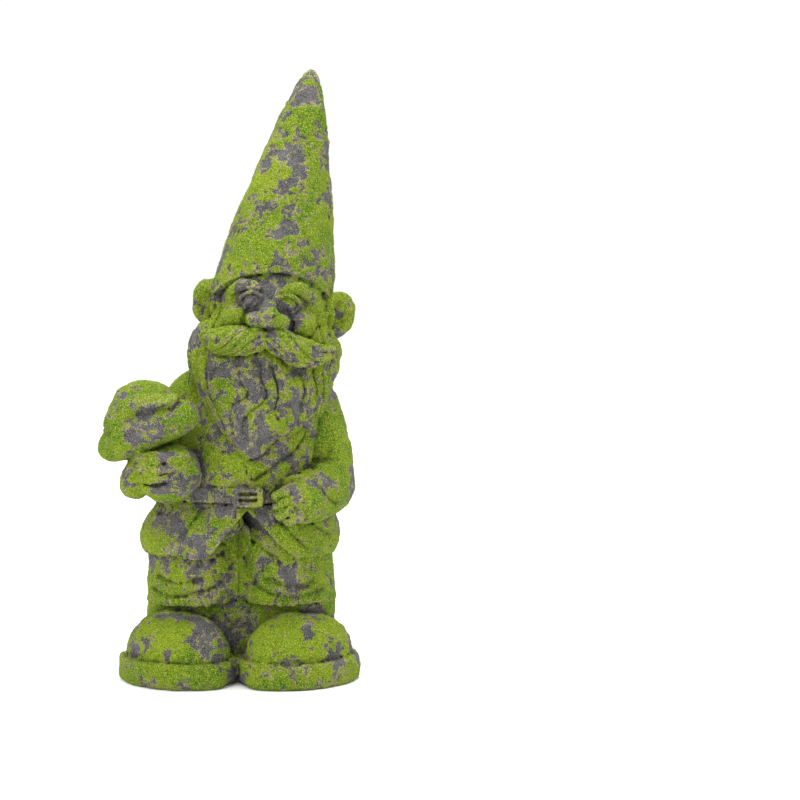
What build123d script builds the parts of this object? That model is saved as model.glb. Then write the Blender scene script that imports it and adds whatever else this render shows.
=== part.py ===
"""Garden gnome that holds a toadstool: a cast-stone figure, built from the elements it is sculpted in.

Millimetres. +Z is up, the figure faces -Y, and the origin is on the ground between its boots, in the
underside of the web that joins them. Right and left are the figure's own, so its right hand is at -X.
"""

import os
from math import cos, radians, sin

from build123d import *

# Driving dimensions: the whole figure
HEAD_ROLL = 5.5  # the head leans to the figure's left
HAT_ROLL = 9.5
HAT_PITCH = 12.0  # the hat leans back
BRIM_PITCH = 36.0  # the brim is cut higher at the front than at the nape
WALL = 14.0

# Heights of the joints between the elements
SOLE_TOP = 22.0
HEM_Z = 65.0
SKIRT_LOW_Z = 106.0
WAIST_Z = 153.0
BELT_LOW_Z = 155.0
BELT_TOP_Z = 168.0
NECK_Z = 278.0

# Where the head and the hat sit
HEAD_CENTRE = (29.0, -5.0, 312.0)
HEAD_RADII = (46.5, 46.5, 50.0)
FACE_X = -1.0  # middle of the face in the head's own plane
HAT_BASE = (30.7, 8.0, 341.0)
BRIM_POINT = (28.0, 0.0, 318.5)

SIDES = {"right": -1, "left": 1}
QUARTERS = (0, 90, 180, 270)  # ovals are drawn as four arcs, so that lofts have a face to each quarter
DOME = [(0.95, 0.31), (0.6, 0.8)]  # how far out each section of a domed end is, and how wide


def leaning(origin, roll, pitch=0.0):
    """Plane whose Z leans by roll towards +X and by pitch towards +Y."""
    up = Vector(sin(radians(roll)), sin(radians(pitch)), cos(radians(roll)) * cos(radians(pitch)))
    return Plane(origin=origin, x_dir=(cos(radians(roll)), 0, -sin(radians(roll))), z_dir=up)


def stack(sections, plane=Plane.XY):
    """Loft through level ovals, each (z, centre x, centre y, half-width, half-depth)."""
    with BuildPart() as form:
        for z, x, y, half_width, half_depth in sections:
            with BuildSketch(Plane((x, y, z))):
                with BuildLine():
                    for start in QUARTERS:
                        EllipticalCenterArc((0, 0), half_width, half_depth, start_angle=start, arc_size=90)
                make_face()
        loft()
    return form.part.moved(plane.location)


def ovoid(centre, radii, turn=(0, 0, 0), plane=Plane.XY):
    """Ellipsoid of these half-lengths, turned by degrees about X, Y and Z of the plane."""
    a, b, c = radii
    latitudes = [radians(angle) for angle in (-78, -50, -20, 20, 50, 78)]
    form = stack([(c * sin(t), 0, 0, a * cos(t), b * cos(t)) for t in latitudes])
    return form.moved(plane.location * Location(centre, turn))


def limb(points, sizes, across, plane=Plane.XY):
    """Round limb through these points with these radii, domed at both ends."""
    points = [Vector(*p) for p in points]
    first = (points[0] - points[1]).normalized()
    last = (points[-1] - points[-2]).normalized()
    sections = [(points[0] + first * sizes[0] * reach, -first, sizes[0] * size) for reach, size in DOME]
    for i, point in enumerate(points):
        along = points[min(i + 1, len(points) - 1)] - points[max(i - 1, 0)]
        sections.append((point, along, sizes[i]))
    for reach, size in reversed(DOME):
        sections.append((points[-1] + last * sizes[-1] * reach, last, sizes[-1] * size))
    with BuildPart() as form:
        for point, along, size in sections:
            with BuildSketch(Plane(point, x_dir=across, z_dir=along)):
                with BuildLine():
                    for start in QUARTERS:
                        CenterArc((0, 0), size, start, 90)
                make_face()
        loft()
    return form.part.moved(plane.location)


def block(low, high, plane=Plane.XY):
    """Box between two corners given in the plane."""
    size = Vector(*high) - Vector(*low)
    middle = (Vector(*high) + Vector(*low)) / 2
    with BuildPart() as form:
        Box(abs(size.X), abs(size.Y), abs(size.Z))
    return form.part.moved(plane.location * Location(middle))


def drawn_in(sections):
    """The same level sections, drawn in by the wall's thickness and shortened by it at both ends."""
    inner = [(z, x, y, a - WALL, b - WALL) for z, x, y, a, b in sections]
    inner[0] = (inner[0][0] + WALL, *inner[0][1:])
    inner[-1] = (inner[-1][0] - WALL, *inner[-1][1:])
    return inner


def carve(tools):
    """Takes these forms away from the part being built, one after another."""
    for tool in tools:
        add(tool, mode=Mode.SUBTRACT)


def finish(builder, name):
    """Labels the one solid that the piece is, without offcuts, and writes its STEP file."""
    piece = builder.part.solids().sort_by(SortBy.VOLUME)[-1]
    piece.label = name
    export_step(piece, f"parts/{name}.step")
    return piece


os.makedirs("parts", exist_ok=True)
head_plane = leaning(HEAD_CENTRE, HEAD_ROLL)
hat_plane = leaning(HAT_BASE, HAT_ROLL, HAT_PITCH)
brim_plane = leaning(BRIM_POINT, 0.0, BRIM_PITCH)
skull = ovoid((0, 0, 0), HEAD_RADII, plane=head_plane)

# Eyes, in sockets in the head
EYE_RADIUS = 8.0
EYE_X, EYE_Y, EYE_Z = 15.0, -38.0, 11.0
eyes = []
for side, sign in SIDES.items():
    with BuildPart() as eye:
        add(ovoid((FACE_X + sign * EYE_X, EYE_Y, EYE_Z), (EYE_RADIUS,) * 3, plane=head_plane))
    eyes.append(finish(eye, f"eye_{side}"))
with BuildPart() as head:
    add(skull)
    add(ovoid((0, 0, 0), [r - WALL for r in HEAD_RADII], plane=head_plane), mode=Mode.SUBTRACT)
    carve(eyes)
finish(head, "head")

# Hat: a hollow cone with bulging sides that sits on the skull, cut off at the brim
HAT_SECTIONS = [
    (-62, 55),
    (-30, 53),
    (0, 50),
    (45, 43),
    (86, 34),
    (125, 24.5),
    (155, 16),
    (175, 9),
    (185, 2),
]
HOLLOW_SECTIONS = [(32, 31), (86, 20), (140, 6)]
with BuildPart() as hat:
    add(stack([(z, 0, 0, radius, radius) for z, radius in HAT_SECTIONS], hat_plane))
    split(bisect_by=brim_plane, keep=Keep.TOP)
    carve([stack([(z, 0, 0, radius, radius) for z, radius in HOLLOW_SECTIONS], hat_plane), skull, *eyes])
hat_form = finish(hat, "hat")

# Ears: shells with a cupped front, standing out from the head
EAR_CENTRE = (54.0, 2.0, 2.0)
EAR_RADII = (17.0, 9.0, 21.0)
EAR_TURN = 25.0
ears = []
for side, sign in SIDES.items():
    x, y, z = sign * EAR_CENTRE[0], *EAR_CENTRE[1:]
    turn = (0, sign * 10, sign * EAR_TURN)
    with BuildPart() as ear:
        add(ovoid((x, y, z), EAR_RADII, turn, head_plane))
        carve([ovoid((x + sign * 4, y - 10, z), (12, 7, 15), turn, head_plane), skull, hat_form])
    ears.append(finish(ear, f"ear_{side}"))

# Nose: a bulb with a lobe at each nostril
with BuildPart() as nose:
    bridge = [(FACE_X, -43, 12), (FACE_X, -51, 5), (FACE_X, -55, -1)]
    add(limb(bridge, [5, 8, 10.5], (1, 0, 0), head_plane))
    for sign in SIDES.values():
        add(ovoid((FACE_X + sign * 10, -51, -4), (9, 9, 8), plane=head_plane))
    carve([skull, *eyes])
nose_form = finish(nose, "nose")

# Cheeks, brows and lower lip, all on the skull
cheeks = []
for side, sign in SIDES.items():
    with BuildPart() as cheek:
        add(ovoid((FACE_X + sign * 27, -33, -5), (14, 14, 13), plane=head_plane))
        carve([skull, nose_form, *eyes])
    cheeks.append(finish(cheek, f"cheek_{side}"))

    brow_points = [
        (FACE_X + sign * 12, -43, 24),
        (FACE_X + sign * 22, -40, 25),
        (FACE_X + sign * 33, -32, 18),
    ]
    with BuildPart() as brow:
        add(limb(brow_points, [4, 5.5, 4], (0, 1, 0), head_plane))
        carve([skull, hat_form, *eyes])
    finish(brow, f"brow_{side}")

with BuildPart() as lower_lip:
    add(ovoid((FACE_X - 1, -43, -32), (9, 8, 5), plane=head_plane))
    carve([skull])
lip_form = finish(lower_lip, "lower_lip")

# Moustache: two swept-back halves that meet under the nose, the left one hanging lower
MOUSTACHE_LIFT = {"right": 4.0, "left": 0.0}
MOUSTACHE_SIZES = [9, 11.5, 12.5, 10, 5.5]
face = [skull, nose_form, lip_form, *cheeks]
moustaches = []
for side, sign in SIDES.items():
    lift = MOUSTACHE_LIFT[side]
    strand = [
        (FACE_X + sign * 2, -54, -17),
        (FACE_X + sign * 15, -54, -21),
        (FACE_X + sign * 29, -49, -27 + lift),
        (FACE_X + sign * 42, -40, -29 + lift),
        (FACE_X + sign * 52, -31, -26 + lift),
    ]
    parting = (FACE_X, -100, -60)
    other_half = block(parting, (FACE_X - sign * 100, 0, 20), head_plane)
    with BuildPart() as moustache:
        add(limb(strand, MOUSTACHE_SIZES, (0, 1, 0), head_plane))
        carve([other_half, *face])
    moustaches.append(finish(moustache, f"moustache_{side}"))

# Coat above the waist: one hollow barrel that leans to the left and narrows to the neck
TRUNK_SECTIONS = [(WAIST_Z, 4, 0, 66, 56), (195, 10, -2, 66, 60), (238, 17, 0, 60, 50), (NECK_Z, 24, 2, 40, 40)]
trunk = stack(TRUNK_SECTIONS)
with BuildPart() as coat_body:
    add(trunk)
    carve([stack(drawn_in(TRUNK_SECTIONS)), skull])
finish(coat_body, "coat_body")

# Beard: hangs from ear to ear and narrows to a point on the chest; the hair goes on behind it
BEARD_SECTIONS = [
    (5, 0, 2, 50, 42),
    (-18, -3, 4, 60, 50),
    (-38, -5, 2, 64, 56),
    (-60, -3, -4, 60, 56),
    (-78, -1, -14, 53, 49),
    (-94, -3, -26, 38, 40),
    (-108, -5, -42, 19, 24),
    (-118, -6, -56, 5, 9),
]
PARTING_Y = 8.0
front_half = block((-120, -120, -160), (120, PARTING_Y, 60), head_plane)
back_half = block((-120, PARTING_Y, -160), (120, 120, 60), head_plane)
beard_form = stack(BEARD_SECTIONS, head_plane)
with BuildPart() as beard:
    add(beard_form)
    carve([back_half, *face, *moustaches, trunk, hat_form, *ears])
finish(beard, "beard")
with BuildPart() as hair:
    add(ovoid((0, 4, -16), (53, 48, 44), plane=head_plane))
    carve([front_half, skull, trunk, hat_form, *ears])
finish(hair, "hair")

# Boots: a thick sole, a round toe cap and a shaft each, mirrored about the middle of the legs
BOOT_X, TOE_Y, TOE_TURN = 52.0, -45.0, 30.0
SHAFT_X = 45.0
boots = []
for side, sign in SIDES.items():
    toe = Location((sign * BOOT_X, TOE_Y, 0), (0, 0, sign * TOE_TURN))
    with BuildPart() as boot_sole:
        with BuildSketch():
            with Locations(toe):
                Ellipse(54, 39.5)
            with Locations((sign * SHAFT_X, 0)):
                Circle(36)
        extrude(amount=SOLE_TOP)
        chamfer(boot_sole.faces().sort_by(Axis.Z)[0].edges(), 2)
    boots.append(finish(boot_sole, f"boot_sole_{side}"))

    shaft_x = sign * SHAFT_X
    with BuildPart() as boot_shaft:
        shaft = [(SOLE_TOP, shaft_x, -2, 36, 36), (45, shaft_x, -2, 37, 37), (HEM_Z, shaft_x, -3, 36, 38)]
        add(stack(shaft))
        carve([stack([(SOLE_TOP + 12, shaft_x, 0, 21, 21), (HEM_Z - 8, shaft_x, 0, 21, 21)])])
    boots.append(finish(boot_shaft, f"boot_shaft_{side}"))

    with BuildPart() as boot_upper:
        add(ovoid((sign * BOOT_X, TOE_Y, 24), (48, 34, 36), (0, 0, sign * TOE_TURN)))
        carve([block((-150, -150, -50), (150, 150, SOLE_TOP)), boot_shaft.part])
    boots.append(finish(boot_upper, f"boot_upper_{side}"))

# Web: the stone left between the two boots
WEB_FRONT, WEB_BACK, WEB_HALF_WIDTH = -30.0, 24.0, 16.0
with BuildPart() as base_web:
    add(block((-WEB_HALF_WIDTH, WEB_FRONT, 0), (WEB_HALF_WIDTH, WEB_BACK, HEM_Z)))
    carve(boots)
finish(base_web, "base_web")

# Trouser legs: hollow, and touching along the middle
leg_forms = []
for side, sign in SIDES.items():
    leg_sections = [
        (HEM_Z, sign * 39, -3, 42, 45),
        (90, sign * 38, -2, 42, 46),
        (120, sign * 37, 0, 41, 46),
        (WAIST_Z, sign * 33, 0, 38, 44),
    ]
    with BuildPart() as leg_form:
        add(stack(leg_sections))
        carve([block((0, -100, 0), (-sign * 100, 100, 200))])
    leg_forms.append(leg_form.part)
    with BuildPart() as trouser_leg:
        add(leg_form.part)
        carve([stack(drawn_in(leg_sections)), block((0, -100, 0), (-sign * 100, 100, 200))])
    finish(trouser_leg, f"trouser_leg_{side}")

# Coat below the waist: two flaps that part over the trousers, and the tail behind
SKIRT_SECTIONS = [
    (SKIRT_LOW_Z, 0, 0, 83, 61),
    (122, 0, 0, 86, 64),
    (140, 2, -1, 79, 61),
    (WAIST_Z, 4, 0, 69, 57),
]
SIDE_SEAM_Y = 12.0
skirt_form = stack(SKIRT_SECTIONS)
with BuildPart() as opening:
    with BuildSketch(Plane.XZ.offset(10)):
        Polygon((9, 149), (-32, 100), (56, 100), align=None)
    extrude(amount=80)
behind_seam = block((-150, SIDE_SEAM_Y, 50), (150, 150, 200))
before_seam = block((-150, -150, 50), (150, SIDE_SEAM_Y, 200))
for side, sign in SIDES.items():
    with BuildPart() as coat_flap:
        add(skirt_form)
        carve([behind_seam, block((0, -150, 50), (-sign * 150, 150, 200)), opening.part, *leg_forms])
    finish(coat_flap, f"coat_flap_{side}")
with BuildPart() as coat_tail:
    add(skirt_form)
    carve([before_seam, *leg_forms])
finish(coat_tail, "coat_tail")

# Belt with a rectangular buckle and its prong
BELT_THICKNESS = 4.5
BUCKLE_X, BUCKLE_Z = 10.5, 161.0
BUCKLE_SIZE = (26.5, 17.0)
SLOT_SIZE = (16.0, 8.0)
BUCKLE_FRONT = -67.0
belt_form = stack(
    [
        (BELT_LOW_Z, 4.5, 0, 66 + BELT_THICKNESS, 56.5 + BELT_THICKNESS),
        (BELT_TOP_Z, 6.5, -0.5, 66 + BELT_THICKNESS, 57.5 + BELT_THICKNESS),
    ]
)
with BuildPart() as belt:
    add(belt_form)
    carve([trunk])
finish(belt, "belt")
with BuildPart() as buckle_frame:
    with BuildSketch(Plane.XZ.offset(50)):
        with Locations((BUCKLE_X, BUCKLE_Z)):
            RectangleRounded(*BUCKLE_SIZE, 3)
            Rectangle(*SLOT_SIZE, mode=Mode.SUBTRACT)
    extrude(amount=-BUCKLE_FRONT - 50)
    carve([belt_form, trunk, skirt_form])
finish(buckle_frame, "buckle_frame")
with BuildPart() as buckle_prong:
    with BuildSketch(Plane.XZ.offset(50)):
        with Locations((BUCKLE_X, BUCKLE_Z)):
            Rectangle(SLOT_SIZE[0], 3)
    extrude(amount=-BUCKLE_FRONT - 51)
    carve([belt_form, trunk])
finish(buckle_prong, "buckle_prong")

# Toadstool: a stem with a swollen foot, and a cap leaning out to the right, a dome with a thick rolled rim
CAP_CENTRE = (-71.0, -60.0, 212.0)
CAP_ROLL = -24.0
RIM_POINTS = [(-101, -60, 205), (-73, -71, 219), (-44, -68, 231)]
RIM_SIZES = [14, 17.5, 14]
cap_plane = leaning(CAP_CENTRE, CAP_ROLL, -4)
with BuildPart() as toadstool_cap:
    add(ovoid((-80, -50, 225), (36, 31, 33), (0, CAP_ROLL, 0)))
    carve([block((-100, -100, -100), (100, 100, -8), cap_plane)])
    add(limb(RIM_POINTS, RIM_SIZES, (0, 1, 0)))
cap_form = finish(toadstool_cap, "toadstool_cap")
hand_form = ovoid((-56, -66, 182), (28.5, 20, 25))
with BuildPart() as toadstool_stem:
    add(limb([(-72, -62, 212), (-78, -63, 192), (-84, -65, 172)], [8, 10, 13], (0, 1, 0)))
    carve([cap_form, hand_form])
stem_form = finish(toadstool_stem, "toadstool_stem")

# Arms: upper and lower sleeve and a closed hand on each side
ARMS = {
    "right": {
        "upper": [(-34, 4, 240), (-56, -2, 205), (-63, -8, 172)],
        "lower": [(-63, -10, 172), (-57, -50, 174)],
        "sizes": [24, 23, 22, 19],
    },
    "left": {
        "upper": [(56, 4, 240), (69, -1, 204), (73, -8, 168)],
        "lower": [(73, -10, 165), (58, -54, 158)],
        "sizes": [24, 25, 26, 20],
    },
}
HANDS = {"right": hand_form, "left": ovoid((47, -66, 157), (15, 15, 16))}
body_forms = [trunk, belt_form, beard_form, skirt_form, *leg_forms]
for side, arm in ARMS.items():
    shoulder, middle, elbow, wrist = arm["sizes"]
    with BuildPart() as hand:
        add(HANDS[side])
        carve([cap_form, trunk, belt_form, beard_form])
    finish(hand, f"hand_{side}")
    with BuildPart() as lower_sleeve:
        add(limb(arm["lower"], [elbow, wrist], (1, 0, 0)))
        carve([HANDS[side], *body_forms, stem_form, cap_form])
    lower_form = finish(lower_sleeve, f"lower_sleeve_{side}")
    with BuildPart() as upper_sleeve:
        add(limb(arm["upper"], [shoulder, middle, elbow], (0, 1, 0)))
        carve([*body_forms, lower_form, cap_form, stem_form])
    finish(upper_sleeve, f"upper_sleeve_{side}")
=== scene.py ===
"""The looks of the garden gnome: hand-sculpted stone under patches of flock moss.

Every CAD element is turned into a distance field on one grid. The fields are blended into one figure,
the sculptor's details are worked into it, and it is cut again along the joints of the elements, so each
element is one closed mesh and the joints don't show. Millimetres are used until the meshes are made.
"""

import math

import bpy
import numpy as np
import openvdb as vdb
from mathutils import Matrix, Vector


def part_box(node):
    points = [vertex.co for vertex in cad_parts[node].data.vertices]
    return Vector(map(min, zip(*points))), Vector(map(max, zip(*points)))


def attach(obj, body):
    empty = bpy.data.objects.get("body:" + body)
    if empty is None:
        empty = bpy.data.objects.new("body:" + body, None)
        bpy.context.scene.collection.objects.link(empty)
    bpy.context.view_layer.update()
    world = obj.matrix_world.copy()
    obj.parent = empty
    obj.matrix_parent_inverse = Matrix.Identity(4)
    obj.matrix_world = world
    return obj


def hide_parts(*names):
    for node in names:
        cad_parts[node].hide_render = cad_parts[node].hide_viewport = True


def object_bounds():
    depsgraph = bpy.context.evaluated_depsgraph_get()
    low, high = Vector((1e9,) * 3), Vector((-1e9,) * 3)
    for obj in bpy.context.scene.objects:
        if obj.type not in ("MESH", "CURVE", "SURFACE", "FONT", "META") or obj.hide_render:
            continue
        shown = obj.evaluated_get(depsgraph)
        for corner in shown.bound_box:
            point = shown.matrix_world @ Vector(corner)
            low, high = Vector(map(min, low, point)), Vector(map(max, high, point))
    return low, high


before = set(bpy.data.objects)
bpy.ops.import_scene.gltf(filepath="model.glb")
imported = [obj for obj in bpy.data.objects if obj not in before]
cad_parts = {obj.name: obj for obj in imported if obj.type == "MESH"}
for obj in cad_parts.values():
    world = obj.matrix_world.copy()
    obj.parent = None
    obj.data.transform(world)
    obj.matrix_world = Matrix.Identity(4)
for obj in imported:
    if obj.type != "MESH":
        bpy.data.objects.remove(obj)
cad_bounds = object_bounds()

VOXEL = 1.0
BAND = 12.0  # how far from each element its distance is known
PAD = 13.0  # how far the grid and the windows reach past the CAD elements
MM = 1000.0  # millimetres in a metre

# How softly each element runs into what it stands on
SOFTNESS = {
    "eye": 0.6,
    "buckle": 0.9,
    "belt": 1.0,
    "boot_sole": 0.8,
    "hat": 1.2,
    "toadstool": 1.2,
    "moustache": 1.2,
    "beard": 1.5,
    "brow": 1.5,
    "lower_lip": 1.5,
    "hair": 2.0,
    "coat_flap": 2.0,
    "coat_tail": 2.0,
    "hand": 2.0,
    "upper_sleeve": 2.6,
    "lower_sleeve": 2.2,
    "nose": 1.6,
    "cheek": 2.0,
    "ear": 1.2,
}
DEFAULT_SOFTNESS = 3.0
SIDES = {"right": -1, "left": 1}


# ---------------------------------------------------------------- the grid

low = np.array(cad_bounds[0]) * MM - PAD
high = np.array(cad_bounds[1]) * MM + PAD
FIRST = np.floor(low / VOXEL).astype(int)
SHAPE = tuple(np.ceil(high / VOXEL).astype(int) - FIRST + 1)
AXES = [(np.arange(n) + f).astype(np.float32) * VOXEL for n, f in zip(SHAPE, FIRST)]


def window(lowest, highest):
    """Slices of the grid that cover the box between two corners in millimetres."""
    a = np.maximum(np.floor(np.array(lowest) / VOXEL).astype(int) - FIRST, 0)
    b = np.minimum(np.ceil(np.array(highest) / VOXEL).astype(int) - FIRST + 1, SHAPE)
    return tuple(slice(int(i), int(j)) for i, j in zip(a, b))


def coordinates(view):
    """X, Y and Z of a window, ready to broadcast against each other."""
    x, y, z = (AXES[i][view[i]] for i in range(3))
    return x[:, None, None], y[None, :, None], z[None, None, :]


def distance_field(node):
    """Signed distance of one CAD element, in the window round it."""
    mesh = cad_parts[node].data
    mesh.calc_loop_triangles()
    points = np.zeros(len(mesh.vertices) * 3, np.float32)
    mesh.vertices.foreach_get("co", points)
    points = points.reshape(-1, 3) * MM
    triangles = np.zeros(len(mesh.loop_triangles) * 3, np.int32)
    mesh.loop_triangles.foreach_get("vertices", triangles)
    view = window(points.min(0) - PAD, points.max(0) + PAD)
    grid = vdb.FloatGrid.createLevelSetFromPolygons(
        points,
        triangles=triangles.reshape(-1, 3).astype(np.uint32),
        transform=vdb.createLinearTransform(VOXEL),
        halfWidth=BAND / VOXEL,
    )
    field = np.zeros([s.stop - s.start for s in view], np.float32)
    grid.copyToArray(field, ijk=tuple(int(s.start + f) for s, f in zip(view, FIRST)))
    return view, field


def soft_min(a, b, k):
    """Union of two fields that run into each other over k millimetres."""
    h = np.maximum(k - np.abs(a - b), 0) / k
    return np.minimum(a, b) - h * h * (k / 4)


def soft_max(a, b, k):
    """Overlap of two fields, rounded over k millimetres."""
    return -soft_min(-a, -b, k)


def softness(node):
    """Softness of this element's joint, by the start of its name."""
    for start, value in SOFTNESS.items():
        if node.startswith(start):
            return value
    return DEFAULT_SOFTNESS


fields = {node: distance_field(node) for node in sorted(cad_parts)}
figure = np.full(SHAPE, BAND, np.float32)
nearest = np.full(SHAPE, BAND, np.float32)
second = np.full(SHAPE, BAND, np.float32)
for node, (view, field) in sorted(fields.items(), key=lambda item: -softness(item[0])):
    figure[view] = soft_min(figure[view], field, softness(node))
    second[view] = np.minimum(second[view], np.maximum(nearest[view], field))
    nearest[view] = np.minimum(nearest[view], field)


def ownership(node):
    """Window of an element, and there how far each point is from it than from its nearest neighbour."""
    view, field = fields[node]
    others = np.where(field <= nearest[view], second[view], nearest[view])
    return view, field - others


# ---------------------------------------------------------------- sculpting tools


def chain_distance(view, points, sizes):
    """Distance from a chain of balls joined by cones, in a window."""
    x, y, z = coordinates(view)
    best = None
    for (p, q), (r, s) in zip(zip(points[:-1], points[1:]), zip(sizes[:-1], sizes[1:])):
        px, py, pz = p
        dx, dy, dz = (q[i] - p[i] for i in range(3))
        length2 = max(dx * dx + dy * dy + dz * dz, 1e-6)
        t = np.clip(((x - px) * dx + (y - py) * dy + (z - pz) * dz) / length2, 0, 1)
        gap = np.sqrt((x - px - t * dx) ** 2 + (y - py - t * dy) ** 2 + (z - pz - t * dz) ** 2)
        gap = gap - (r + (s - r) * t)
        best = gap if best is None else np.minimum(best, gap)
    return best


def chain_window(points, sizes, reach):
    """Window round a chain, with room for its blend."""
    array = np.array(points)
    return window(array.min(0) - max(sizes) - reach, array.max(0) + max(sizes) + reach)


def lay(points, sizes, blend):
    """Adds a roll of clay along these points."""
    sizes = [sizes] * len(points) if np.isscalar(sizes) else sizes
    view = chain_window(points, sizes, blend + 2 * VOXEL)
    figure[view] = soft_min(figure[view], chain_distance(view, points, sizes), blend)


def score(points, sizes, blend):
    """Draws a groove along these points."""
    sizes = [sizes] * len(points) if np.isscalar(sizes) else sizes
    view = chain_window(points, sizes, blend + 2 * VOXEL)
    figure[view] = soft_max(figure[view], -chain_distance(view, points, sizes), blend)


def front(x, z, sink=0.0):
    """Point on the figure's front at this width and height, sunk into it by a distance."""
    i, k = (int(round(v / VOXEL)) - f for v, f in ((x, FIRST[0]), (z, FIRST[2])))
    inside = np.nonzero(figure[i, :, k] < 0)[0]
    return (x, float(AXES[1][inside[0]]) + sink, z)


def smooth_line(points, count):
    """More points along a gentle curve through the given ones."""
    points = np.array(points, float)
    ends = np.vstack([2 * points[0] - points[1], points, 2 * points[-1] - points[-2]])
    line = []
    for i in range(len(points) - 1):
        p0, p1, p2, p3 = ends[i : i + 4]
        for t in np.arange(count) / count:
            line.append(
                0.5 * (2 * p1 + (p2 - p0) * t + (2 * p0 - 5 * p1 + 4 * p2 - p3) * t**2
                + (3 * p1 - p0 - 3 * p2 + p3) * t**3)
            )
    return [tuple(p) for p in line] + [tuple(points[-1])]


def centre(node):
    """Middle of a CAD element's box, in millimetres."""
    a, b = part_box(node)
    return (a + b) * (MM / 2)


def smooth(value, start, end):
    """0 before start, 1 after end, and smooth between."""
    t = np.clip((value - start) / (end - start), 0, 1)
    return t * t * (3 - 2 * t)


def blurred(field, radius):
    """Box blur of this many voxels each way, along all three axes."""
    for axis in range(3):
        total = np.cumsum(field, axis=axis, dtype=np.float32)
        n = field.shape[axis]
        upper = np.minimum(np.arange(n) + radius, n - 1)
        lower = np.maximum(np.arange(n) - radius - 1, 0)
        count = (upper - lower).reshape([-1 if i == axis else 1 for i in range(3)])
        field = (np.take(total, upper, axis) - np.take(total, lower, axis)) / count
    return field


def ridges(s, sharpness=0.6):
    """Rounded ridges with narrow valleys at whole numbers, from -1 to 1."""
    return np.abs(np.sin(np.pi * s)) ** sharpness * 2 - 1


# Noise: smooth random values on a lattice that repeats, far apart enough not to show
LATTICE = 48
RANDOM = np.random.default_rng(20).random((8, LATTICE, LATTICE, LATTICE)).astype(np.float32) * 2 - 1


def noise(p, scale, seed):
    """Smooth noise between -1 and 1 at points (N, 3), with features of this size in millimetres."""
    table = RANDOM[seed % 8]
    q = p / np.float32(scale) + np.float32(seed * 3.7 + 100)
    cell = np.floor(q)
    f = (q - cell).astype(np.float32)
    f = f * f * (3 - 2 * f)
    cell = cell.astype(np.int32) % LATTICE
    after = (cell + 1) % LATTICE
    result = 0
    for i in (0, 1):
        wx = f[:, 0] if i else 1 - f[:, 0]
        cx = after[:, 0] if i else cell[:, 0]
        for j in (0, 1):
            wy = f[:, 1] if j else 1 - f[:, 1]
            cy = after[:, 1] if j else cell[:, 1]
            row = table[cx, cy]
            edge = np.take_along_axis(row, cell[:, 2:3], 1)[:, 0] * (1 - f[:, 2])
            edge += np.take_along_axis(row, after[:, 2:3], 1)[:, 0] * f[:, 2]
            result = result + edge * wx * wy
    return result


MOSS_WAVES = ((0.50, 19, 4), (0.44, 9, 5), (0.36, 4.4, 6), (0.26, 2.3, 7))  # weight, size and seed
MOSS_SHARE = 0.12  # more of it leaves less bare stone
EYE_CLEARING = 13.0  # millimetres round each eye where little moss grows


def moss_level(p):
    """Positive where moss covers the stone, negative where the stone is bare."""
    q = p + 3.0 * np.stack([noise(p, 7, 1), noise(p, 7, 2), noise(p, 7, 3)], 1)
    level = 0
    for weight, size, seed in MOSS_WAVES:
        level = level + weight * noise(q, size, seed)
    for eye in EYES.values():
        level = level - 0.75 * np.exp(-(((p - eye) / EYE_CLEARING) ** 2).sum(1))
    return level + MOSS_SHARE


# ---------------------------------------------------------------- head and face

HEAD = np.array(centre("head"))
EYES = {side: np.array(centre(f"eye_{side}")) for side in SIDES}
across = EYES["left"] - EYES["right"]
HEAD_X = across / np.linalg.norm(across)
HEAD_Y = np.array((0.0, 1.0, 0.0))
HEAD_Z = np.cross(HEAD_X, HEAD_Y)
EYE_RADIUS = (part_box("eye_left")[1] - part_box("eye_left")[0]).x * MM / 2
MOUTH_HEIGHT = -27.5  # below the middle of the head
LID_CORNER = 84  # degrees from the middle of an eye to where its lids meet


def in_head(x, y, z):
    """Point of the figure from coordinates along the head's own axes."""
    return tuple(HEAD + x * HEAD_X + y * HEAD_Y + z * HEAD_Z)


def head_coordinates(view):
    """Coordinates of a window along the head's own axes."""
    x, y, z = coordinates(view)
    dx, dy, dz = x - HEAD[0], y - HEAD[1], z - HEAD[2]
    return dx * HEAD_X[0] + dz * HEAD_X[2], dy, dx * HEAD_Z[0] + dz * HEAD_Z[2]


def eyelid_line(eye, lift, reach):
    """Points along a lid's edge over an eyeball, lifted by degrees in the middle."""
    line = []
    for azimuth in range(-78, 79, 12):
        up = math.radians(lift * math.cos(math.radians(azimuth * 90 / LID_CORNER)))
        turn = math.radians(azimuth)
        direction = HEAD_X * math.sin(turn) * math.cos(up) - HEAD_Y * math.cos(turn) * math.cos(up)
        line.append(tuple(eye + (direction + HEAD_Z * math.sin(up)) * reach))
    return line


def sculpt_eye(eye):
    """A rounder eyeball between a heavy upper lid and a thin lower one."""
    eyeball = tuple(eye - 2.2 * HEAD_Y - 0.5 * HEAD_Z)
    lay([eyeball, eyeball], EYE_RADIUS - 0.8, 0.4)
    lay(eyelid_line(eye, 52, EYE_RADIUS + 2.6), 1.9, 0.5)
    lay(eyelid_line(eye, -52, EYE_RADIUS + 1.2), 1.3, 0.5)


def sculpt_nose_side(nose, sign):
    """The crease over a nostril, and the fold that runs down between nose and cheek."""
    wing = [(5.5, -5, 4), (6.5, -9, -2), (7, -8, -8)]
    score([tuple(nose + sign * x * HEAD_X + y * HEAD_Y + z * HEAD_Z) for x, y, z in wing], 1.0, 1.6)
    beside = [(12, 11), (17, 3), (21, -6), (20, -13)]
    spots = smooth_line([nose + sign * x * HEAD_X + z * HEAD_Z for x, z in beside], 3)
    score([front(x, z, 0.3) for x, _, z in spots], 0.6, 2.0)


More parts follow.
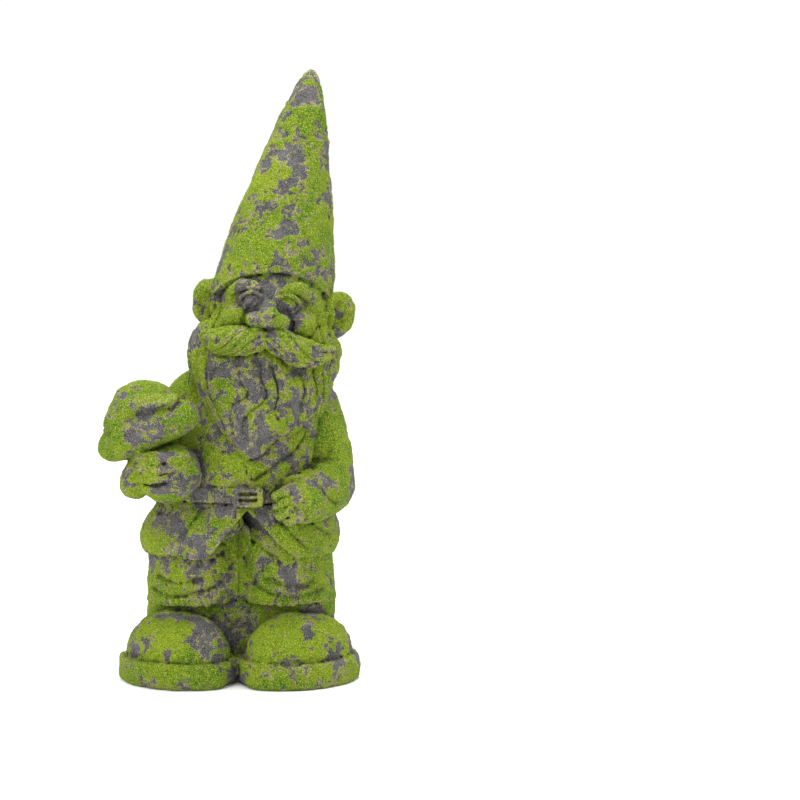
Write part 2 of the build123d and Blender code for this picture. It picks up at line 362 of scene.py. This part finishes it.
def sculpt_mouth():
    """The parting above the lower lip."""
    corners = smooth_line([in_head(x, 0, MOUTH_HEIGHT + 0.02 * x * x) for x in (-8, -3, 2, 7)], 3)
    score([front(x, z, 0.8) for x, _, z in corners], 1.3, 1.2)


for eye in EYES.values():
    sculpt_eye(eye)
for sign in (-1, 1):
    sculpt_nose_side(np.array(centre("nose")), sign)
sculpt_mouth()


# ---------------------------------------------------------------- hands, sleeves, toadstool and ears

FINGER_SPACING = 8.5  # from the middle of one finger to the next
FINGER_REACH = (0.94, 1.0, 0.97, 0.86)  # how far each finger of the right fist stands out
KNUCKLES = [(-12, -9, 6.5), (-12.5, -10.5, -1.5), (-9, -11.5, -9), (-1.5, -11, -13.5)]
CUFF_BEHIND = 13  # from the middle of a hand back to its cuff


def sculpt_right_fist(fist):
    """Four fingers wrapped round the toadstool's stem, with grooves between them."""
    for i, reach in enumerate(FINGER_REACH):
        z = 15.0 - FINGER_SPACING * i
        finger = [(16, -8, z), (8, -16 * reach, z), (-6, -18.5 * reach, z)]
        finger += [(-17, -15 * reach, z - 1), (-24, -6, z - 1)]
        lay([tuple(fist + p) for p in smooth_line(finger, 3)], 5.4 - 0.3 * i, 2.6)
    for i in range(3):
        z = 9.5 - FINGER_SPACING * i
        between = smooth_line([(-19, 0, z + 1), (-11, 0, z - 0.5), (-1, 0, z + 1)], 4)
        score([front(fist[0] + x, fist[2] + h, 0.2) for x, _, h in between], 1.6, 1.2)


def sculpt_left_fist(fist):
    """A row of curled knuckles round the fist's lower edge."""
    for x, y, z in KNUCKLES:
        finger = ((x + 8, y - 3, z + 4), (x, y, z), (x + 2, y + 9, z - 1))
        lay([tuple(fist + p) for p in finger], 4.3, 0.5)
    for (x, _, z), (u, _, w) in zip(KNUCKLES[:-1], KNUCKLES[1:]):
        inner = ((x + u) / 2 + 7, (z + w) / 2 + 4)
        outer = ((x + u) / 2 - 2, (z + w) / 2 - 1.5)
        score([front(fist[0] + px, fist[2] + pz, 0.2) for px, pz in (outer, inner)], 1.3, 0.8)


def cuff(sleeve, hand, radius, size):
    """A rolled cuff round the end of a forearm, just behind the hand."""
    wrist = np.array(centre(hand))
    along = wrist - np.array(centre(sleeve))
    along[1] = min(along[1], -20)  # every cuff opens towards the front
    along /= np.linalg.norm(along)
    side = np.cross(along, (0, 0, 1.0))
    side /= np.linalg.norm(side)
    up = np.cross(side, along)
    middle = wrist - along * CUFF_BEHIND
    ring = [
        tuple(middle + radius * (side * math.cos(math.radians(a)) + up * math.sin(math.radians(a))))
        for a in range(0, 361, 20)
    ]
    lay(ring, size, 1.5)


def sculpt_toadstool(cap):
    """A softer step between dome and rolled rim, and a flatter outer flank."""
    step = [(-30, 3, 4), (-18, -14, 12), (2, -25, 18), (20, -22, 21)]
    lay([tuple(cap + p) for p in smooth_line(step, 4)], 7.0, 5.0)
    flank = [(-61, 3, -12), (-53, 3, 22)]
    score([tuple(cap + p) for p in flank], 24.0, 6.0)


def sculpt_ear(ear, sign):
    """A deeper cup, with a lump in front of it."""
    cup = [ear + x * sign * HEAD_X - 9.5 * HEAD_Y + z * HEAD_Z for x, z in ((-1, -9), (1, 0), (0, 9))]
    score([tuple(p) for p in cup], [4, 6.5, 5], 1.2)
    lay([tuple(ear - 6 * sign * HEAD_X - 8 * HEAD_Y + z * HEAD_Z) for z in (-6, 2)], 3.0, 1.5)


sculpt_right_fist(np.array(centre("hand_right")))
sculpt_left_fist(np.array(centre("hand_left")))
cuff("lower_sleeve_left", "hand_left", 17.5, 4.0)
cuff("lower_sleeve_right", "hand_right", 18.0, 3.5)
sculpt_toadstool(np.array(centre("toadstool_cap")))
for side, sign in SIDES.items():
    sculpt_ear(np.array(centre(f"ear_{side}")), sign)


# ---------------------------------------------------------------- between the legs, and the boots

BOOT_X, TOE_Y, TOE_TURN = 52, -45, 30  # where the toe caps are, and how far they turn out
WELT_REACH = (49.5, 35.5)  # half-length and half-width of the groove round a toe cap


def join_legs():
    """Opens the gap between the toes, and fills out the stone between the legs."""
    score([(0, -100, -3), (0, -76, -3), (0, -55, -3)], [15, 10, 2], 4.0)
    lay([(0, -42, 128), (0, -38, 116)], [10, 9], 7.0)
    lay([(0, -27, 106), (0, -28, 74)], 7.0, 6.0)
    for x in (-18, 18):
        lay([(x, -25, 58), (x, -26, 12)], 7.0, 6.0)


def round_soles():
    """Wears the edges of the soles round, but not the top of the window, which has nothing above it."""
    soles = window((-120, -110, -10), (120, 60, 30))
    for _ in range(2):
        rounded = blurred(figure[soles], max(1, int(2 / VOXEL)))
        figure[soles][:, :, :-4] = rounded[:, :, :-4]


def score_welt(side, sign):
    """The groove round the front of a toe cap, where it meets the sole."""
    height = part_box(f"boot_sole_{side}")[1].z * MM + 1.5
    turn = math.radians(TOE_TURN * sign)
    welt = []
    for degrees in range(160, 381, 10):
        along = WELT_REACH[0] * math.cos(math.radians(degrees))
        out = WELT_REACH[1] * math.sin(math.radians(degrees))
        x = sign * BOOT_X + along * math.cos(turn) - out * math.sin(turn)
        y = TOE_Y + along * math.sin(turn) + out * math.cos(turn)
        welt.append((x, y, height))
    score(welt, 1.6, 1.6)


join_legs()
round_soles()
for side, sign in SIDES.items():
    score_welt(side, sign)

# ---------------------------------------------------------------- coat and trousers

belt_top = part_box("belt")[1].z * MM
beard_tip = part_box("beard")[0].z * MM
OVERLAP = [(8, beard_tip + 1), (9, 184), (centre("buckle_frame")[0], belt_top + 0.5)]
LAPEL = [(16, 175), (34, 186), (50, 198), (60, 214)]
ELBOW = [(75, -8, 178), (73.5, -9, 166)]
ARMPIT = [(71, 228), (68, 206), (65, 184)]


def sculpt_coat():
    """The overlap of the coat, its lapel, the crease over the belt, and a fuller left elbow."""
    score([front(x, z, 0.3) for x, z in OVERLAP], 1.2, 1.2)
    score([front(x, z, 0.3) for x, z in LAPEL], 1.2, 2.0)
    score([front(x, belt_top + 1, 0.2) for x in range(-24, 30, 3)], 0.6, 1.5)
    lay(ELBOW, [22.8, 25], 3.0)
    armpit = smooth_line([(x, 0, z) for x, z in ARMPIT], 5)
    score([front(x, z, 0.8) for x, _, z in armpit], 1.6, 4.0)


def fold(points):
    """A soft crease drawn on the front through (x, z) points."""
    line = smooth_line([(x, 0, z) for x, z in points], 3)
    score([front(x, z, 0.2) for x, _, z in line], 1.3, 4.5)


FOLDS = (
    [(-58, 121), (-50, 126), (-36, 140), (-28, 150)],
    [(60, 113), (50, 124), (36, 140)],
    [(78, 124), (66, 132), (58, 143)],
    [(-70, 88), (-52, 84), (-30, 88)],
    [(-76, 76), (-56, 72), (-30, 77), (-14, 84)],
    [(64, 84), (48, 80), (26, 87)],
    [(72, 76), (50, 71), (24, 76), (12, 84)],
    [(-22, 104), (-8, 112), (8, 118)],
    [(34, 104), (22, 113), (10, 121)],
    [(80, 196), (74, 189), (66, 188)],
    [(84, 152), (78, 160), (72, 170)],
)
sculpt_coat()
for points in FOLDS:
    fold(points)


# ---------------------------------------------------------------- strands of hair and weathering


def shift(node, amount):
    """Moves the surface outwards by an amount in a window, inside one element's share of the figure."""
    view, gap = ownership(node)
    share = smooth(-gap, -1.0, 3.0)
    figure[view] -= amount * share


def window_noise(view, scale, seed):
    """Noise at every point of a window."""
    x, y, z = np.broadcast_arrays(*coordinates(view))
    return noise(np.stack([x.ravel(), y.ravel(), z.ravel()], 1), scale, seed).reshape(x.shape)


# The beard's outline at some heights of the head: half-width, middle in X and middle in Y
BEARD_HEIGHTS = [-120, -110, -94, -78, -60, -38, -18, 10]
BEARD_HALF_WIDTHS = [6, 14, 33, 50, 60, 64, 60, 52]
BEARD_MIDDLES = [-6, -5, -3, -1, -3, -5, -3, 0]
BEARD_DEPTHS = [-50, -40, -24, -12, -4, 2, 4, 4]


def comb_beard():
    """Long wavy locks that run down to the tip, with threads on them."""
    view, _ = fields["beard"]
    x, y, z = head_coordinates(view)
    half_width = np.interp(z, BEARD_HEIGHTS, BEARD_HALF_WIDTHS).astype(np.float32)
    middle = np.interp(z, BEARD_HEIGHTS, BEARD_MIDDLES).astype(np.float32)
    depth_centre = np.interp(z, BEARD_HEIGHTS, BEARD_DEPTHS).astype(np.float32)
    angle = np.arctan2((x - middle) / half_width, (depth_centre - y) / (half_width * 0.8))
    warp = window_noise(view, 34, 1) + 0.45 * window_noise(view, 15, 2)
    strength = np.clip(half_width / 30, 0.3, 1) * (0.8 + 0.35 * window_noise(view, 24, 3))
    locks = ridges(angle * 3.3 + 0.012 * z + 0.85 * warp, 0.75)
    threads = ridges(angle * 10 + 0.02 * z + 2.6 * warp, 0.9)
    shift("beard", (1.7 * locks + 0.75 * threads - 0.3) * strength)


def comb_hair():
    """Locks that hang from under the brim behind the ears."""
    view, _ = fields["hair"]
    x, y, z = head_coordinates(view)
    angle = np.arctan2(x, y)
    locks = ridges(angle * 4.2 + 0.25 * np.sin(z / 6))
    threads = ridges(angle * 11 + 0.3 * np.sin(z / 4), 0.8)
    shift("hair", 1.2 * locks + 0.5 * threads)


# The moustache's middle line on either side: distance from the nose, Y and Z
SPINE_REACHES = [2, 16, 30, 43, 53]
SPINE_DEPTHS = [-54, -53, -48, -39, -30]
SPINE_HEIGHTS = [-19, -21, -27, -29, -24]


def comb_moustache(side):
    """Strands that wind slowly round one half of the moustache."""
    view, _ = fields[f"moustache_{side}"]
    x, y, z = head_coordinates(view)
    reach = np.abs(x + 1)
    spine_y = np.interp(reach, SPINE_REACHES, SPINE_DEPTHS).astype(np.float32)
    spine_z = np.interp(reach, SPINE_REACHES, SPINE_HEIGHTS).astype(np.float32)
    angle = np.arctan2(z - spine_z, spine_y - y)
    warp = 0.3 * window_noise(view, 14, 4)
    strands = ridges(angle * 1.6 + reach / 13 + warp + 0.3, 0.7)
    threads = ridges(angle * 4 + reach / 5 + 2 * warp, 0.9)
    shift(f"moustache_{side}", 0.95 * strands + 0.45 * threads)


def comb_brow(side, sign):
    """Short slanting hairs on one brow."""
    view, _ = fields[f"brow_{side}"]
    x, _, z = head_coordinates(view)
    shift(f"brow_{side}", 0.5 * ridges((x * sign * 0.5 + z) / 3.4, 0.8))


comb_beard()
comb_hair()
for side, sign in SIDES.items():
    comb_moustache(side)
    comb_brow(side, sign)


SKIN = 4.5  # how near the surface the weathering is worked out
FINENESS = {"eye_right": 0.1, "eye_left": 0.1, "buckle_frame": 0.5}  # how rough these are left


def weather():
    """Uneven stone, and moss that stands out from it in raised and crumbly patches."""
    surface = np.nonzero(np.abs(figure) < SKIN)
    points = np.stack([AXES[i][surface[i]] for i in range(3)], 1)
    moss = moss_level(points)
    relief = 1.1 * noise(points, 31, 3) + 0.7 * noise(points, 13, 1) + 0.35 * noise(points, 6, 6)
    relief += 0.85 * smooth(moss, -0.04, 0.08) + smooth(moss, 0.0, 0.1) * 0.38 * noise(points, 3.1, 2)
    relief += 0.28 * noise(points, 1.9, 5) - 0.4
    roughness = np.ones(len(points), np.float32)
    for node, fineness in FINENESS.items():
        a, b = (np.array(v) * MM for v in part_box(node))
        inside = np.all((points > a - 5) & (points < b + 5), axis=1)
        roughness[inside] = fineness
    figure[surface] -= (relief * roughness).astype(np.float32)


weather()
figure = np.maximum(figure, -AXES[2][None, None, :])


# ---------------------------------------------------------------- hollows and edges, for the worn edges and the painted shade


def bend_of(reach, radius):
    """How the surface bends over a distance: positive on edges, negative in hollows."""
    clipped = np.clip(figure, -reach, reach)
    return blurred(clipped, max(1, int(radius / VOXEL))) - clipped


bend = bend_of(4, 3)
# Wide bend, negative in deep hollows; it is used only to paint shade into them
hollow_shade = bend_of(BAND, 10)


def sample(field, p):
    """Field's values at points (N, 3), interpolated between voxels."""
    q = p / VOXEL - FIRST
    cell = np.clip(np.floor(q).astype(int), 0, np.array(SHAPE) - 2)
    f = q - cell
    total = 0
    for corner in np.ndindex(2, 2, 2):
        weight = np.prod([f[:, i] if corner[i] else 1 - f[:, i] for i in range(3)], axis=0)
        total = total + weight * field[tuple(cell[:, i] + corner[i] for i in range(3))]
    return total


# ---------------------------------------------------------------- one closed mesh for each element


OVERHANG = 6.0  # how far an element's mesh may stand out from its CAD shape


def element_mesh(node):
    """Cuts one element out of the figure and makes its mesh, in metres.

    Past its joint an element dives under its neighbour, gently at first and then steeply.
    """
    view, gap = ownership(node)
    _, own = fields[node]
    field = figure[view] + 0.1 * np.maximum(gap, 0) + 0.7 * np.maximum(gap - 1.5, 0)
    field = np.maximum(field, own - OVERHANG)
    limit = 3 * VOXEL
    field = np.clip(field, -limit, limit).astype(np.float64)
    grid = vdb.FloatGrid(limit)
    grid.copyFromArray(field, ijk=tuple(int(s.start + f) for s, f in zip(view, FIRST)))
    grid.transform = vdb.createLinearTransform(VOXEL)
    points, quads = grid.convertToQuads(isovalue=0)
    mesh = bpy.data.meshes.new(f"{node}_stone")
    mesh.vertices.add(len(points))
    mesh.vertices.foreach_set("co", (points / MM).astype(np.float32).ravel())
    mesh.loops.add(quads.size)
    mesh.loops.foreach_set("vertex_index", quads[:, ::-1].astype(np.int32).ravel())
    mesh.polygons.add(len(quads))
    mesh.polygons.foreach_set("loop_start", np.arange(0, quads.size, 4, dtype=np.int32))
    mesh.update(calc_edges=True)
    mesh.validate()
    mesh.polygons.foreach_set("use_smooth", np.ones(len(mesh.polygons), bool))
    for name, values in (
        ("moss", moss_level(points)),
        ("bend", sample(bend, points)),
        ("hollow_shade", sample(hollow_shade, points)),
    ):
        layer = mesh.attributes.new(name, "FLOAT", "POINT")
        layer.data.foreach_set("value", np.asarray(values, np.float32))
    piece = bpy.data.objects.new(f"{node}_stone", mesh)
    bpy.context.scene.collection.objects.link(piece)
    return piece


# ---------------------------------------------------------------- material


def linear(red, green, blue):
    """Colour from display values 0 to 255."""
    values = [v / 255 for v in (red, green, blue)]
    return tuple(((v + 0.055) / 1.055) ** 2.4 if v > 0.04 else v / 12.92 for v in values) + (1,)


material = bpy.data.materials.new("mossy_stone")
material.use_nodes = True
tree = material.node_tree
shader = tree.nodes["Principled BSDF"]
place = tree.nodes.new("ShaderNodeTexCoord")


def link(source, target):
    """Joins two sockets of the material."""
    tree.links.new(source, target)


def texture(scale, detail, roughness=0.6):
    """Noise in the object's own space; scale is in features per metre."""
    node = tree.nodes.new("ShaderNodeTexNoise")
    node.inputs["Scale"].default_value = scale
    node.inputs["Detail"].default_value = detail
    node.inputs["Roughness"].default_value = roughness
    link(place.outputs["Object"], node.inputs["Vector"])
    return node.outputs["Fac"]


def attribute(name):
    """One of the values stored on the meshes' points."""
    node = tree.nodes.new("ShaderNodeAttribute")
    node.attribute_name = name
    return node.outputs["Fac"]


def remap(value, low_in, high_in, low_out=0.0, high_out=1.0):
    """Value moved from one range to another, and kept inside it."""
    node = tree.nodes.new("ShaderNodeMapRange")
    limits = {"From Min": low_in, "From Max": high_in, "To Min": low_out, "To Max": high_out}
    for name, number in limits.items():
        node.inputs[name].default_value = number
    link(value, node.inputs["Value"])
    return node.outputs["Result"]


def math_node(operation, a, b=0.0):
    """Sum, difference, product or absolute value of sockets and numbers."""
    node = tree.nodes.new("ShaderNodeMath")
    node.operation = operation
    for socket, value in zip(node.inputs, (a, b)):
        if isinstance(value, (int, float)):
            socket.default_value = value
        else:
            link(value, socket)
    return node.outputs["Value"]


def mix(factor, a, b):
    """Colour between a and b."""
    node = tree.nodes.new("ShaderNodeMix")
    node.data_type = "RGBA"
    link(factor, node.inputs["Factor"])
    for name, value in (("A", a), ("B", b)):
        socket = [s for s in node.inputs if s.name == name and s.type == "RGBA"][0]
        if isinstance(value, tuple):
            socket.default_value = value
        else:
            link(value, socket)
    return [s for s in node.outputs if s.type == "RGBA"][0]


grain = texture(1100, 2.0, 0.7)
crumbs = texture(430, 4.0, 0.7)
patches = texture(80, 5.0, 0.65)
wide = texture(20, 3.0)
edge = attribute("bend")

# Where moss grows, with a ragged and speckled edge
ragged = math_node("MULTIPLY", math_node("SUBTRACT", crumbs, 0.5), 1.1)
speckled = math_node("MULTIPLY", math_node("SUBTRACT", grain, 0.5), 0.7)
level = math_node("ADD", attribute("moss"), math_node("ADD", ragged, speckled))

# Blue-grey stone with light grains
stone = mix(remap(patches, 0.38, 0.62), linear(58, 60, 64), linear(94, 93, 96))
stone = mix(remap(grain, 0.46, 0.66, 0.0, 0.8), stone, linear(150, 145, 136))

# Moss: deep and yellow greens in patches, painted shade between the crumbs, with bright tips
green = mix(remap(wide, 0.38, 0.62), linear(66, 112, 8), linear(128, 150, 20))
green = mix(remap(patches, 0.42, 0.6, 0.0, 0.7), green, linear(106, 132, 14))
# Painted shade in the valleys between moss crumbs, where the bump is lowest
green = mix(remap(crumbs, 0.49, 0.36, 0.0, 0.85), green, linear(40, 64, 6))
green = mix(remap(grain, 0.5, 0.64, 0.0, 0.9), green, linear(186, 198, 76))

# Pale rims round the patches, rubbed edges, and painted shade: dark creases and darkened deep hollows
worn = mix(remap(grain, 0.42, 0.6), linear(136, 130, 74), linear(208, 190, 148))
from_rim = math_node("ABSOLUTE", math_node("SUBTRACT", level, -0.03))
rim = math_node("SUBTRACT", 1.0, remap(from_rim, 0.02, 0.10))
body = mix(remap(level, -0.04, 0.02), stone, green)
body = mix(math_node("MULTIPLY", rim, remap(patches, 0.38, 0.6, 0.2, 0.85)), body, worn)
rubbed = math_node("MULTIPLY", remap(edge, 0.35, 1.1), remap(crumbs, 0.45, 0.6))
body = mix(math_node("MULTIPLY", rubbed, 0.6), body, worn)
# Painted shade: creases and hollows are darkened
body = mix(remap(edge, -0.15, -1.1, 0.0, 0.8), body, linear(30, 34, 16))
# Painted shade: deep hollows are darkened towards a dark olive
body = mix(remap(attribute("hollow_shade"), 0.5, -4.0, 0.0, 0.55), body, linear(34, 42, 14))
link(body, shader.inputs["Base Color"])
link(remap(level, -0.02, 0.05, 0.85, 0.98), shader.inputs["Roughness"])
shader.inputs["Specular IOR Level"].default_value = 0.2
bump = tree.nodes.new("ShaderNodeBump")
bump.inputs["Strength"].default_value = 0.9
bump.inputs["Distance"].default_value = 0.0022
link(math_node("ADD", grain, math_node("MULTIPLY", crumbs, 1.2)), bump.inputs["Height"])
link(bump.outputs["Normal"], shader.inputs["Normal"])


# ---------------------------------------------------------------- the pieces

for node in sorted(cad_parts):
    piece = element_mesh(node)
    piece.data.materials.append(material)
    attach(piece, "root")
    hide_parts(node)


# ---------------------------------------------------------------- floor, light and camera

FLOOR_REACH = 40.0  # metres from the middle to each side
FLOOR_COLOUR = (0.97, 0.97, 0.97, 1)
CAMERA_PLACE = Vector((0.138, -2.0, 0.460))
CAMERA_AIM = Vector((0.138, 0.0, 0.236))
LENS = 104.99
SKY_STRENGTH = 1.03  # bright enough for the far end of the floor to run into the sky

corners = [(x * FLOOR_REACH, y * FLOOR_REACH, 0) for x, y in ((-1, -1), (1, -1), (1, 1), (-1, 1))]
floor_mesh = bpy.data.meshes.new("floor")
floor_mesh.from_pydata(corners, [], [(0, 1, 2, 3)])
floor = bpy.data.objects.new("floor", floor_mesh)
bpy.context.scene.collection.objects.link(floor)
paper = bpy.data.materials.new("pale_floor")
paper.use_nodes = True
paper_shader = paper.node_tree.nodes["Principled BSDF"]
paper_shader.inputs["Base Color"].default_value = FLOOR_COLOUR
paper_shader.inputs["Roughness"].default_value = 0.9
floor_mesh.materials.append(paper)

world = bpy.data.worlds.new("studio")
bpy.context.scene.world = world
world.use_nodes = True
sky = world.node_tree.nodes["Background"]
sky.inputs["Color"].default_value = (1, 1, 1, 1)
sky.inputs["Strength"].default_value = SKY_STRENGTH
bpy.context.scene.view_settings.view_transform = "Standard"


def softbox(name, place_at, target, size, watts):
    """Square area light that faces a point."""
    light = bpy.data.lights.new(name, "AREA")
    light.size = size
    light.energy = watts
    lamp = bpy.data.objects.new(name, light)
    lamp.location = place_at
    lamp.rotation_euler = (Vector(target) - Vector(place_at)).to_track_quat("-Z", "Y").to_euler()
    bpy.context.scene.collection.objects.link(lamp)


softbox("key", (-0.9, -1.3, 1.9), (0, 0, 0.25), 1.0, 20)
softbox("top", (0.2, 0.2, 2.0), (0, 0, 0.3), 1.2, 36)

camera = bpy.data.objects.new("camera", bpy.data.cameras.new("camera"))
camera.location = CAMERA_PLACE
camera.rotation_euler = (CAMERA_AIM - CAMERA_PLACE).to_track_quat("-Z", "Y").to_euler()
camera.data.lens = LENS
camera.data.sensor_width = 36
bpy.context.scene.collection.objects.link(camera)
bpy.context.scene.camera = camera
